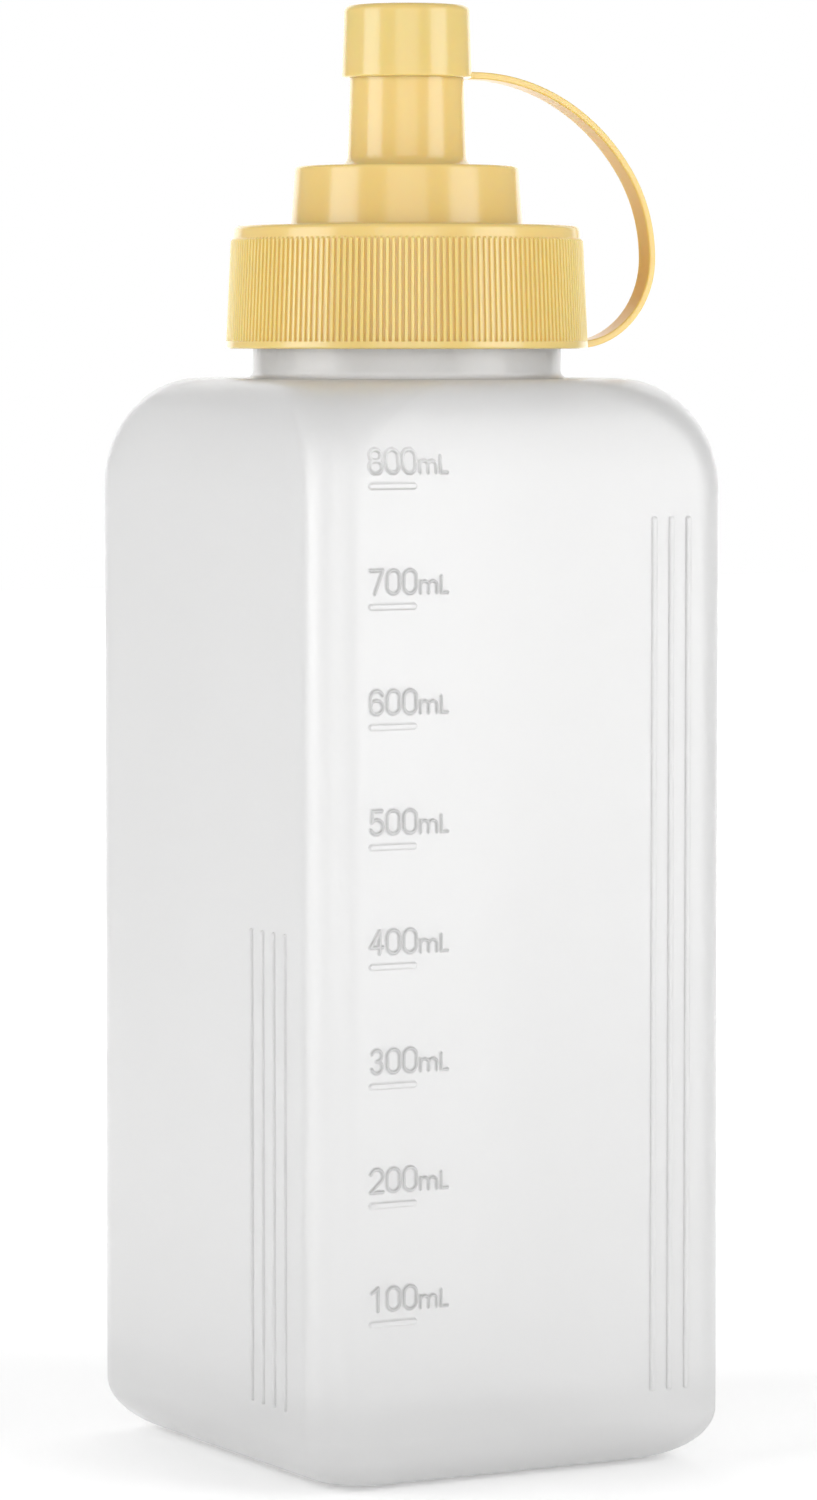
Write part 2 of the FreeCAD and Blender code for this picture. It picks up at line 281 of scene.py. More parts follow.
# The thin strap: its colour is a deeper orange, a painted glow for the light that scatters through it, and
# its faces are a little duller.
yellowStrapPaintedGlow = {
    **yellow,
    "name": "yellowStrapPaintedGlowPlastic",
    # painted glow: a redder orange than the cap's yellow, for the light that scatters through the strap
    "color": (0.815, 0.575, 0.185, 1.0),
    "flowColor": (0.805, 0.563, 0.178, 1.0),
    "roughness": (0.285, 0.30),
}


# Glossy moulded polypropylene, with faint flow marks and a very fine grain.
def yellowPlastic(sizes):
    material, nodes, links, shader = newMaterial(sizes["name"])
    flow = noiseNode(nodes, links, sizes["flowSize"], sizes["flowDetail"])
    links.new(tintNode(nodes, links, flow, sizes["flowColor"], sizes["color"]), shader.inputs["Base Color"])
    links.new(rangeNode(nodes, links, flow.outputs["Fac"], *sizes["roughness"]),
              shader.inputs["Roughness"])
    addGrain(nodes, links, shader, sizes)
    shader.inputs["Specular IOR Level"].default_value = sizes["shine"]
    shader.inputs["Specular Tint"].default_value = sizes["shineColor"]
    weight, reach = sizes["glow"]
    shader.inputs["Subsurface Weight"].default_value = weight
    shader.inputs["Subsurface Scale"].default_value = reach
    shader.inputs["Subsurface Radius"].default_value = sizes["glowReach"]
    print("material", material.name)
    return material


body = {
    "ribRelief": 0.00045,
    "ribHalfWidth": 0.000525,
    "cornerRadius": 0.007,
    "wall": 0.0015,
    "floor": 0.0016,
    "footRun": 0.0105,
    "footRise": 0.0085,
    "height": 0.1718,
    "shoulderRise": 0.0176,
    "shoulderRun": 0.0072,
    "shoulderTopRadius": 0.0235,
    "neckRadius": 0.0246,
    "neckWall": 0.0016,
    "neckFillet": 0.0012,
    "rimRound": 0.0003,
    "ribFootRoom": 0.004,
    "longRibs": (3, 0.0031, 0.0017),      # count, pitch, corner to the nearest one
    "longRibRoom": 0.0038,
    "shortRibs": (4, 0.0037, 0.0047),
    "shortRibLength": 0.0742,
    "columnSpacing": 0.004,
    "columnRoom": 0.0008,                 # even columns stay this far from those at the ribs
    "rowRoom": 0.002,                     # and even rows from those at the ribs' ends
    "angleRoom": 0.02,                    # the same on the shoulder, in radians
    "cornerColumns": 12,
    "roundRows": 16,
    "trunkRows": 20,
    "insideRows": 16,
    "filletRows": 7,
    "rimRows": 4,
    "tubeRows": 6,                        # down the neck, outside and in its bore
    "baseRings": (0.3, 0.65, 0.95),       # shares of the base's outline, from its middle
    "neckRing": 0.7,                      # the ring round the neck's foot is this far from the outline
    "ceilingRing": 0.6,                   # and the one inside is this far from the bore
}
body["halfX"] = bottleHigh.x - body["ribRelief"]
body["halfY"] = bottleHigh.y - body["ribRelief"]
body["rim"] = bottleHigh.z
body["shoulderStart"] = body["height"] - body["shoulderRise"]
body["ribBottom"] = body["footRise"] + body["ribFootRoom"]

scale = {
    "firstBar": 0.027,
    "volume": 0.0001,                     # cubic metres from one bar to the next
    "count": 8,
    "left": -0.0287,
    "relief": 0.0004,
    "barLength": 0.0084,
    "barHalfWidth": 0.0005,
    "barEdge": 0.00022,                   # width of the sloped edge
    "textGap": 0.00175,
    "strokeHalfWidth": 0.00031,
    "unitStrokeHalfWidth": 0.00027,
    "stroke": 0.00055,                    # room a stroke takes up inside its character's size
    "digitWidth": 0.00272,
    "digitHeight": 0.0041,
    "digitGap": 0.0002,
    "unitHeight": 0.00235,
    "unitWidth": 0.0034,
    "unitGap": 0.00022,
    "litreHeight": 0.00305,
    "litreWidth": 0.0017,
    "meshStep": 0.00012,
    "margin": 0.0003,                     # from the marks to the edge of their fine grid
}

# The steps are as far apart as it takes to hold their volume inside the wall.
scale["step"] = scale["volume"] / (4 * (body["halfX"] - body["wall"]) * (body["halfY"] - body["wall"])
                                   - (4 - math.pi) * (body["cornerRadius"] - body["wall"]) ** 2)
scale["length"] = (3 * (scale["digitWidth"] + scale["digitGap"]) + scale["unitWidth"]
                   + scale["unitGap"] + scale["litreWidth"])
scale["blockBottom"] = -scale["barHalfWidth"] - scale["margin"]
scale["blockTop"] = scale["textGap"] + scale["digitHeight"] + scale["margin"]
scale["blockLeft"] = scale["left"] - 2 * scale["margin"]
scale["blockRight"] = scale["left"] + scale["length"] + 2 * scale["margin"]


# Distance from points to a straight stroke: how far they lie from its nearest point.
def lineDistance(x, z, x0, z0, x1, z1):
    stepX, stepZ = x1 - x0, z1 - z0
    share = np.clip(((x - x0) * stepX + (z - z0) * stepZ) / (stepX ** 2 + stepZ ** 2), 0, 1)
    return np.hypot(x - x0 - share * stepX, z - z0 - share * stepZ)


# Distance from points to an arc: to its circle where they face it, else to its nearer end.
def arcDistance(x, z, centreX, centreZ, radius, start, end):
    low, high = sorted((math.radians(start), math.radians(end)))
    angle = np.arctan2(z - centreZ, x - centreX)
    faces = np.mod(angle - low, 2 * math.pi) <= high - low
    ends = [np.hypot(x - centreX - radius * math.cos(turn), z - centreZ - radius * math.sin(turn))
            for turn in (low, high)]
    onCircle = np.abs(np.hypot(x - centreX, z - centreZ) - radius)
    return np.where(faces, onCircle, np.minimum(*ends))


# Distance to an upright or lying oval of two half circles joined by straight strokes.
def ovalDistance(x, z, left, low, width, height):
    radius = min(width, height) / 2
    nearX = np.clip(x, left + radius, left + width - radius)
    nearZ = np.clip(z, low + radius, low + height - radius)
    return np.abs(np.hypot(x - nearX, z - nearZ) - radius)


# Distance to straight strokes from corner to corner.
def chainDistance(x, z, corners):
    runs = [lineDistance(x, z, *a, *b) for a, b in zip(corners, corners[1:])]
    return np.minimum.reduce(runs)


# Distance from points to the middle lines of one character's strokes. Its corners, arcs and
# ovals stand at shares of its own width w and height h.
def glyphDistance(character, x, z):
    w = scale["digitWidth"] - scale["stroke"]
    h = scale["digitHeight"] - scale["stroke"]
    r = w / 2
    if character == "0":
        return ovalDistance(x, z, 0, 0, w, h)
    if character == "1":
        return chainDistance(x, z, [(0.1 * w, 0.78 * h), (0.6 * w, h), (0.6 * w, 0)])
    if character == "2":
        turn = math.radians(-35)
        foot = (r + r * math.cos(turn), h - r + r * math.sin(turn))
        return np.minimum(arcDistance(x, z, r, h - r, r, -35, 165),
                          chainDistance(x, z, [foot, (0, 0), (w, 0)]))
    if character == "3":
        small, large = 0.24 * h, 0.26 * h
        return np.minimum(arcDistance(x, z, r, h - small, small, -90, 160),
                          arcDistance(x, z, r, large, large, -160, 90))
    if character == "4":
        post, bar = 0.74 * w, 0.28 * h
        return np.minimum(chainDistance(x, z, [(post, 0), (post, h), (0, bar)]),
                          chainDistance(x, z, [(0, bar), (w, bar)]))
    if character == "5":
        low = 0.31 * h
        turn = math.radians(140)
        bend = (r + low * math.cos(turn), low + low * math.sin(turn))
        return np.minimum(chainDistance(x, z, [(0.92 * w, h), (0.16 * w, h), bend]),
                          arcDistance(x, z, r, low, low, -155, 140))
    if character == "6":
        stem = chainDistance(x, z, [(0, 0.29 * h), (0, h - r)])
        crown = arcDistance(x, z, r, h - r, r, 20, 180)
        return np.minimum(np.minimum(stem, crown), ovalDistance(x, z, 0, 0, w, 0.58 * h))
    if character == "7":
        return chainDistance(x, z, [(0, h), (w, h), (0.36 * w, 0)])
    if character == "8":
        waist = 0.53 * h
        return np.minimum(ovalDistance(x, z, 0, 0, w, waist),
                          ovalDistance(x, z, 0.06 * w, waist, 0.88 * w, h - waist))
    if character == "m":
        pitch = (scale["unitWidth"] - scale["stroke"]) / 2
        bend = scale["unitHeight"] - scale["stroke"] - pitch / 2
        parts = [lineDistance(x, z, 0, 0, 0, bend + pitch / 2)]
        for step in (0, 1):
            parts.append(arcDistance(x, z, pitch * (step + 0.5), bend, pitch / 2, 0, 180))
            parts.append(lineDistance(x, z, pitch * (step + 1), bend, pitch * (step + 1), 0))
        return np.minimum.reduce(parts)
    return chainDistance(x, z, [(0, scale["litreHeight"] - scale["stroke"]), (0, 0),
                                (scale["litreWidth"] - scale["stroke"], 0)])


# Height of one step of the scale above the wall. It falls off over the edge's width as
# s(2 - s), where s is the distance in from the edge divided by that width.
def markRelief(step, x, z):
    base = scale["firstBar"] + scale["step"] * step
    half, left = scale["barHalfWidth"], scale["left"]
    bar = lineDistance(x, z, left + half, base, left + scale["barLength"] - half, base)
    share = np.clip((half - bar) / scale["barEdge"], 0, 1)
    place = left + scale["stroke"] / 2
    foot = base + scale["textGap"] + scale["stroke"] / 2
    for character in str(step + 1) + "00mL":
        reach = scale["unitStrokeHalfWidth"] if character in "mL" else scale["strokeHalfWidth"]
        away = glyphDistance(character, x - place, z - foot)
        share = np.maximum(share, np.clip((reach - away) / scale["barEdge"], 0, 1))
        if character == "m":
            place += scale["unitWidth"] + scale["unitGap"]
        else:
            place += scale["digitWidth"] + scale["digitGap"]
    return scale["relief"] * share * (2 - share)


# Sides are numbered 0 to 3 from -Y towards +X. A perimeter value runs from 0 to 8: even whole
# parts are the straight sides, odd ones the corners that follow them.
# Point = side's direction x (reach - r) + along the side x (width - r) + r x turned direction.
def outlinePoints(perimeter, halfX, halfY, radius):
    part = np.floor(perimeter)
    share = perimeter - part
    side = np.floor(part / 2)
    straight = part % 2 == 0
    facing = math.pi / 2 * (side - 1)
    reach = np.where(side % 2 == 0, halfY, halfX)
    width = np.where(side % 2 == 0, halfX, halfY)
    along = np.where(straight, 2 * share - 1, 1) * (width - radius)
    turned = facing + np.where(straight, 0, share * math.pi / 2)
    x = np.cos(facing) * (reach - radius) - np.sin(facing) * along + radius * np.cos(turned)
    y = np.sin(facing) * (reach - radius) + np.cos(facing) * along + radius * np.sin(turned)
    return x, y


# How far in from the wall the outline is, and its corner radius, at a height of the outside.
# With up the share of the shoulder's rise, inset = run (1 - sqrt(1 - up^2)).
def wallInset(height):
    up = np.clip((height - body["shoulderStart"]) / body["shoulderRise"], 0, 1)
    nearTop = 1 - np.sqrt(1 - up ** 2)
    radius = body["cornerRadius"] + (body["shoulderTopRadius"] - body["cornerRadius"]) * nearTop
    return body["shoulderRun"] * nearTop, radius


# Depth of the front of the outline at a place across it: flat, then round the corner.
def frontDepth(x, halfX, halfY, radius):
    past = np.clip((np.abs(x) - (halfX - radius)) / radius, 0, 1)
    return -(halfY - radius) - radius * np.sqrt(1 - past ** 2)


# Where a side's ribs stand, measured along the side from its middle.
def ribPlaces(side):
    count, pitch, margin = body["longRibs"] if side % 2 == 0 else body["shortRibs"]
    half = body["halfX"] if side % 2 == 0 else body["halfY"]
    return half - body["cornerRadius"] - margin - pitch * np.arange(count)


def ribTop(side):
    if side % 2 == 0:
        return body["shoulderStart"] - body["longRibRoom"]
    return body["ribBottom"] + body["shortRibLength"]


# A rib is half an ellipse across: relief x sqrt(1 - (distance / half width)^2), where the
# distance is to the straight line up its middle.
def ribRelief(side, along, height):
    half = body["ribHalfWidth"]
    low, high = body["ribBottom"] + half, ribTop(side) - half
    away = np.minimum.reduce([lineDistance(along, height, place, low, place, high)
                              for place in ribPlaces(side)])
    return body["ribRelief"] * np.sqrt(np.clip(1 - (away / half) ** 2, 0, 1))


# Steps across half a rib, closer where its side is steep.
def ribSteps():
    steps = np.sin(np.radians([0, 24, 44, 61, 76, 90])) * body["ribHalfWidth"]
    return np.unique(np.concatenate([-steps, steps]))


# Perimeter values of the upright mesh columns: those at the ribs and the blocks, with even
# ones between them, and even ones round the corners.
def bodyColumns():
    columns = []
    for side in range(4):
        half = (body["halfX"] if side % 2 == 0 else body["halfY"]) - body["cornerRadius"]
        places = [(ribPlaces(side)[:, None] + ribSteps()).ravel()]
        if side == 0:
            places.append(np.array([scale["blockLeft"], scale["blockRight"]]))
        fixed = np.concatenate(places)
        even = np.linspace(-half, half, int(round(2 * half / body["columnSpacing"])) + 1)[:-1]
        clear = np.min(np.abs(even[:, None] - fixed), axis=1) > body["columnRoom"]
        clear[0] = True
        along = np.sort(np.concatenate([fixed, even[clear]]))
        columns.append(2 * side + (along / half + 1) / 2)
        columns.append(2 * side + 1 + np.arange(body["cornerColumns"]) / body["cornerColumns"])
    return np.concatenate(columns)


# Heights of the mesh rows up the straight part of the outside wall.
def trunkHeights():
    ends = np.concatenate([body["ribBottom"] + body["ribHalfWidth"] + ribSteps()]
                          + [ribTop(side) - body["ribHalfWidth"] + ribSteps() for side in (0, 1)])
    blocks = scale["firstBar"] + scale["step"] * np.arange(scale["count"])
    blocks = np.concatenate([blocks + scale["blockBottom"], blocks + scale["blockTop"]])
    fixed = np.concatenate([ends, blocks[blocks < body["shoulderStart"]]])
    even = np.linspace(body["footRise"], body["shoulderStart"], body["trunkRows"])[1:-1]
    clear = np.min(np.abs(even[:, None] - fixed), axis=1) > body["rowRoom"]
    return np.sort(np.concatenate([fixed, even[clear]]))


# Angles of the shoulder's rows, from the wall to its top, with the last block's two edges.
def shoulderAngles():
    last = scale["firstBar"] + scale["step"] * (scale["count"] - 1)
    edges = [(last + edge - body["shoulderStart"]) / body["shoulderRise"]
             for edge in (scale["blockBottom"], scale["blockTop"])]
    fixed = np.arcsin([edge for edge in edges if edge > 0])
    even = np.linspace(0, math.pi / 2, body["roundRows"] + 1)
    clear = np.min(np.abs(even[:, None] - fixed), axis=1) > body["angleRoom"]
    clear[0] = clear[-1] = True
    return np.sort(np.concatenate([fixed, even[clear]]))


# The rows of one skin of the body, bottom to top. Each row is (inset, corner radius, height):
# foot: inset = run (1 - sin t), height = bottom + rise (1 - cos t)
# shoulder: inset = run (1 - cos t), height = start + rise sin t
def bodyRows(inset, bottom, heights, angles):
    radius = body["cornerRadius"] - inset
    topRadius = body["shoulderTopRadius"] - inset
    turn = np.linspace(0, math.pi / 2, body["roundRows"] + 1)
    foot = [inset + body["footRun"] * (1 - np.sin(turn)), np.full(turn.shape, radius),
            bottom + (body["footRise"] - bottom) * (1 - np.cos(turn))]
    trunk = [np.full(heights.shape, inset), np.full(heights.shape, radius), heights]
    nearTop = 1 - np.cos(angles)
    shoulder = [inset + body["shoulderRun"] * nearTop, radius + (topRadius - radius) * nearTop,
                body["shoulderStart"] + (body["shoulderRise"] - inset) * np.sin(angles)]
    return np.concatenate([foot, trunk, shoulder], axis=1)


# Points of one skin: the outline of each row at each column.
def skinPoints(columns, rows):
    inset, radius, height = [value[:, None] for value in rows]
    x, y = outlinePoints(columns[None, :], body["halfX"] - inset, body["halfY"] - inset, radius)
    return np.stack([x, y, np.broadcast_to(height, x.shape)], axis=-1)


# Pushes the points on each straight side out by its ribs.
def raiseRibs(points, columns):
    for side in range(4):
        mine = (columns >= 2 * side) & (columns < 2 * side + 1)
        facing = math.pi / 2 * (side - 1)
        outX, outY = math.cos(facing), math.sin(facing)
        along = points[:, mine, 1] * outX - points[:, mine, 0] * outY
        relief = ribRelief(side, along, points[:, mine, 2])
        points[:, mine, 0] += relief * outX
        points[:, mine, 1] += relief * outY


# Rings between the body's top outline and the neck: each point moves straight from the
# outline to the neck's circle in its own direction.
def ringPoints(outline, radii, heights, shares):
    direction = outline[:, :2] / np.linalg.norm(outline[:, :2], axis=1, keepdims=True)
    flat = (outline[None, :, :2] * (1 - shares[:, None, None])
            + direction[None] * (radii * shares)[:, None, None])
    high = np.broadcast_to(heights[:, None, None], flat.shape[:2] + (1,))
    return np.concatenate([flat, high], axis=-1)


# The neck from the shoulder over its rim to the bore. Each ring is a radius and a height:
# fillet: radius = neck + fillet (1 - sin t), height = shoulder + fillet (1 - cos t)
# rim: radius = neck - edge (1 - cos t), height = rim - edge (1 - sin t), mirrored to the bore
def neckRings(outline):
    rise, neck, rim = body["height"], body["neckRadius"], body["rim"]
    fillet, edge = body["neckFillet"], body["rimRound"]
    bore = neck - body["neckWall"]
    turn = np.linspace(0, math.pi / 2, body["filletRows"])
    rimTurn = np.linspace(0, math.pi / 2, body["rimRows"])
    tube = np.linspace(rise + fillet, rim - edge, body["tubeRows"])[1:-1]
    radii = np.concatenate([
        [neck + fillet * 2], neck + fillet * (1 - np.sin(turn)), np.full(tube.shape, neck),
        neck - edge * (1 - np.cos(rimTurn)), bore + edge * (1 - np.sin(rimTurn))])
    heights = np.concatenate([
        [rise], rise + fillet * (1 - np.cos(turn)), tube,
        rim - edge + edge * np.sin(rimTurn), rim - edge + edge * np.cos(rimTurn)])
    shares = np.ones(radii.shape)
    shares[0] = body["neckRing"]
    return ringPoints(outline, radii, heights, shares)


# The inside from the rim down: the bore, the ceiling, the wall's inner skin and the floor.
def insidePoints(columns, outline):
    thin, edge = body["wall"], body["rimRound"]
    trunk = np.linspace(body["footRise"], body["shoulderStart"], body["insideRows"])[1:-1]
    angles = np.linspace(0, math.pi / 2, body["roundRows"] + 1)
    skin = skinPoints(columns, bodyRows(thin, body["floor"], trunk, angles)[:, ::-1])
    under = body["height"] - thin
    heights = np.linspace(body["rim"] - edge, under + edge, body["tubeRows"])[1:]
    heights = np.concatenate([heights, [under]])
    radii = np.full(heights.shape, body["neckRadius"] - body["neckWall"])
    bore = ringPoints(outline, radii, heights, np.ones(heights.shape))
    ceiling = bore[-1:] * (1 - body["ceilingRing"]) + skin[:1] * body["ceilingRing"]
    floor = skin[-1][None] * np.array(body["baseRings"][::-1])[:, None, None]
    floor[..., 2] = body["floor"]
    return np.concatenate([bore, ceiling, skin, floor])


# Heights of a block's rows above its bar's middle line: fine ones through the bar and the
# figures, wider ones between them, and the block's two edges.
def blockSteps():
    fine = scale["meshStep"]
    bar = scale["barHalfWidth"] + scale["margin"] / 2
    digits = scale["textGap"] - scale["margin"] / 2
    top = scale["textGap"] + scale["digitHeight"] + scale["margin"] / 2
    return np.concatenate([
        [scale["blockBottom"]], np.arange(-bar, bar, fine), np.arange(bar, digits, 2 * fine)[1:],
        np.arange(digits, top, fine), [scale["blockTop"]]])


# One fine grid in the front wall for one step of the scale: at each place, y is the depth of
# the wall less the relief of the marks. Its border takes the vertices of the coarse wall, so
# the two are one skin. The last step's grid starts in the rounded corner.
def addBlock(shell, step, index, columns, rowHeights):
    base = scale["firstBar"] + scale["step"] * step
    low = int(np.argmin(np.abs(rowHeights - base - scale["blockBottom"])))
    high = int(np.argmin(np.abs(rowHeights - base - scale["blockTop"])))
    half = body["halfX"] - body["cornerRadius"]
    places = (2 * columns[columns < 1] - 1) * half
    left, right = [int(np.argmin(np.abs(places - scale[edge]))) for edge in ("blockLeft", "blockRight")]
    onShoulder = base + scale["blockTop"] > body["shoulderStart"]
    if onShoulder:
        left = -int(body["cornerColumns"] / 4)
    ring = np.arange(left, right + 1) % len(columns)

    heights = base + blockSteps()
    wallRows = rowHeights[low + 1:high]   # every row of the wall beside the grid goes through it
    near = np.abs(heights[:, None] - wallRows[None]).min(axis=1, initial=1) < scale["meshStep"] / 4
    near[[0, -1]] = False
    heights = np.sort(np.concatenate([heights[~near], wallRows]))
    inset, radius = wallInset(heights)
    halfX, halfY = body["halfX"] - inset, body["halfY"] - inset
    edges = [outlinePoints(np.full(heights.shape, columns[column]), halfX, halfY, radius)[0][:, None]
             for column in (ring[0], ring[-1])]
    start, end = scale["left"] - scale["margin"], scale["left"] + scale["length"] + scale["margin"]
    inner = np.arange(start, end, scale["meshStep"])
    leadColumns = 5 if onShoulder else 2
    lead = edges[0] + (start - edges[0]) * np.linspace(0, 1, leadColumns)[:-1]
    inner = np.broadcast_to(inner, (len(heights), len(inner)))
    x = np.concatenate([lead, inner, edges[1]], axis=1)
    z = np.broadcast_to(heights[:, None], x.shape)
    y = frontDepth(x, halfX[:, None], halfY[:, None], radius[:, None]) - markRelief(step, x, z)
    points = np.stack([x, y, z], axis=-1)
    block = shell.addPoints(points, gridNormals(points, False))

    wall = index[low:high + 1][:, ring]
    everywhere = np.concatenate(shell.points)
    every = slice(None)
    for border, theirs, axis in (((0, every), wall[0], 0), ((-1, every), wall[-1], 0),
                                 ((every, 0), wall[:, 0], 2), ((every, -1), wall[:, -1], 2)):
        away = np.abs(points[border][:, axis, None] - everywhere[theirs][:, axis])
        block[border] = theirs[np.argmin(away, axis=1)]
    shell.addFaces(gridFaces(block, False))
    return low, high, ring


# The body is one skin: from the middle of the base up the outside, over the neck's rim and
# down the inside to the middle of the floor. The blocks of the scale fill holes in its front.
def makeBottle(material):
    columns = bodyColumns()
    rows = bodyRows(0, 0, trunkHeights(), shoulderAngles())
    outside = skinPoints(columns, rows)
    raiseRibs(outside, columns)
    base = outside[0][None] * np.array(body["baseRings"])[:, None, None]
    outline = outside[-1]
    points = np.concatenate([base, outside, neckRings(outline), insidePoints(columns, outline)])
    shell = Shell()
    index = shell.addPoints(points, gridNormals(points, True))

    rowHeights = points[:, 0, 2].copy()
    rowHeights[len(base) + rows.shape[1]:] = -1   # the blocks look only at the outside's rows
    hole = np.zeros(index.shape, bool)
    for step in range(scale["count"]):
        low, high, ring = addBlock(shell, step, index, columns, rowHeights)
        hole[low:high, ring[:-1]] = True
    faces = gridFaces(index, True).reshape(index.shape[0] - 1, index.shape[1], 4)
    shell.addFaces(faces[~hole[:-1]])
    shell.addPole((0, 0, 0), (0, 0, -1), index[0], True)
    shell.addPole((0, 0, body["floor"]), (0, 0, 1), index[-1], False)
    return shell.piece("bottleBody", material, "frosted_plastic", "bottle")


cap = {
    "neckClearance": 0.0013,
    "plate": 0.002,
    "wall": 0.00175,
    "skirtDraft": 0.046,
    "skirtRound": 0.0008,
    "plainBand": 0.0021,
    "lipHeight": 0.0012,
    "lipRound": 0.0003,
    "boreFoot": 0.0015,                   # height of the bore's first row over the lip's bottom
    "lipRow": 0.0003,                     # the lip's last row is this far under its top edge
    "bandRow": 0.0002,                    # and the plain band's first one over the ribs
    "ribCount": 180,
    # places of the mesh columns across one rib's pitch, closer on its flanks
    "ribColumns": (0, 0.13, 0.19, 0.23, 0.265, 0.30, 0.36, 0.5, 0.64, 0.70, 0.735, 0.77, 0.81, 0.87),
    "ribDepth": 0.00038,
    "ribShare": 0.58,
    "crestShare": 0.40,
    "ribEnd": 0.00035,                    # slope at the ribs' upper ends
    "edgeGap": 0.00005,                   # from an edge to the row that keeps its shading narrow
    "tierRadius": 0.0185,
    "tierTopRadius": 0.0179,
    "tierHeight": 0.00945,
    "tierRound": 0.0006,
    "tierFootRound": 0.0004,
    "spoutRadius": 0.00945,
    "spoutTipRadius": 0.00875,
    "spoutFillet": 0.0018,
    "rimRound": 0.0003,
    "columns": 270,
}
cap["bore"] = body["neckRadius"] + cap["neckClearance"]
cap["bottom"] = capLow.z
cap["top"] = body["rim"] + cap["plate"]
cap["tierTop"] = cap["top"] + cap["tierHeight"]
cap["spoutRim"] = capHigh.z
cap["topRadius"] = cap["bore"] + cap["wall"]
cap["lipRadius"] = cap["topRadius"] + cap["skirtDraft"] * (cap["top"] - cap["bottom"]) + cap["ribDepth"]


# A profile turned round the axis: x = r cos a, y = r sin a.
def turnProfile(profile, columns):
    angle = 2 * math.pi * np.arange(columns) / columns
    radius, height = np.array(profile).T
    x = radius[:, None] * np.cos(angle)
    y = radius[:, None] * np.sin(angle)
    return np.stack([x, y, np.broadcast_to(height[:, None], x.shape)], axis=-1)


# Points of a rounded corner: centre + radius (cos t, sin t) between two angles in degrees.
def roundCorner(centre, radius, start, end, count=6):
    turn = np.radians(np.linspace(start, end, count))
    return [(centre[0] + radius * math.cos(t), centre[1] + radius * math.sin(t)) for t in turn]


# Two points on a straight run, close to its ends, so that shading stays flat between them.
def closeTo(start, end, gap=0.00012):
    start, end = np.array(start), np.array(end)
    step = (end - start) / max(np.linalg.norm(end - start), 1e-9) * gap
    return [tuple(start + step), tuple(end - step)]


# Radius of the skirt between its ribs: it widens evenly downwards.
def skirtRoot(height):
    return cap["topRadius"] + cap["skirtDraft"] * (cap["top"] - height)


# Radius that the ribs add over the root: depth x smooth step up from foot to crest, by the
# share of the pitch from the rib's middle.
def ribOffset(share):
    away = np.abs(share - 0.5)
    foot, crest = cap["ribShare"] / 2, cap["crestShare"] / 2
    rise = np.clip((foot - away) / (foot - crest), 0, 1)
    return cap["ribDepth"] * rise * rise * (3 - 2 * rise)


# The ribbed part of the skirt, from the lip's top edge to the plain band. Each row is a height
# and an amount: radius = root + what the ribs add x amount, or the lip's own radius for None.
def ribbedRows():
    share = np.array(cap["ribColumns"])
    lipTop = cap["bottom"] + cap["lipHeight"]
    ribTop, end = cap["top"] - cap["plainBand"], cap["ribEnd"]
    gap = cap["edgeGap"]
    rows = [(lipTop - 3 * gap, None), (lipTop, None), (lipTop + gap, 1), (lipTop + 30 * gap, 1)]
    rows += [(height, 1) for height in np.linspace(lipTop + 80 * gap, ribTop - end, 5)]
    rows += [(ribTop - end / 2, 0.62), (ribTop - end / 8, 0.2), (ribTop + gap, 0)]
    angle = 2 * math.pi * (np.arange(cap["ribCount"])[:, None] + share).ravel() / cap["ribCount"]
    offset = np.tile(ribOffset(share), cap["ribCount"])
    grid = []
    for height, amount in rows:
        if amount is None:
            radius = np.full(angle.shape, cap["lipRadius"])
        else:
            radius = skirtRoot(height) + offset * amount
        across = [radius * np.cos(angle), radius * np.sin(angle), np.full(angle.shape, height)]
        grid.append(np.stack(across, axis=-1))
    return np.array(grid)


# Profile of the lip, from the bore round its bottom edge to the ribs.
def lipProfile():
    bore, bottom, edge, outside = cap["bore"], cap["bottom"], cap["lipRound"], cap["lipRadius"]
    profile = [(bore, bottom + cap["boreFoot"])]
    profile += roundCorner((bore + edge, bottom + edge), edge, 180, 270)
    profile += closeTo((bore + edge, bottom), (outside - edge, bottom))
    profile += roundCorner((outside - edge, bottom + edge), edge, 270, 360)
    profile += [(outside, bottom + cap["lipHeight"] - cap["lipRow"])]
    return profile


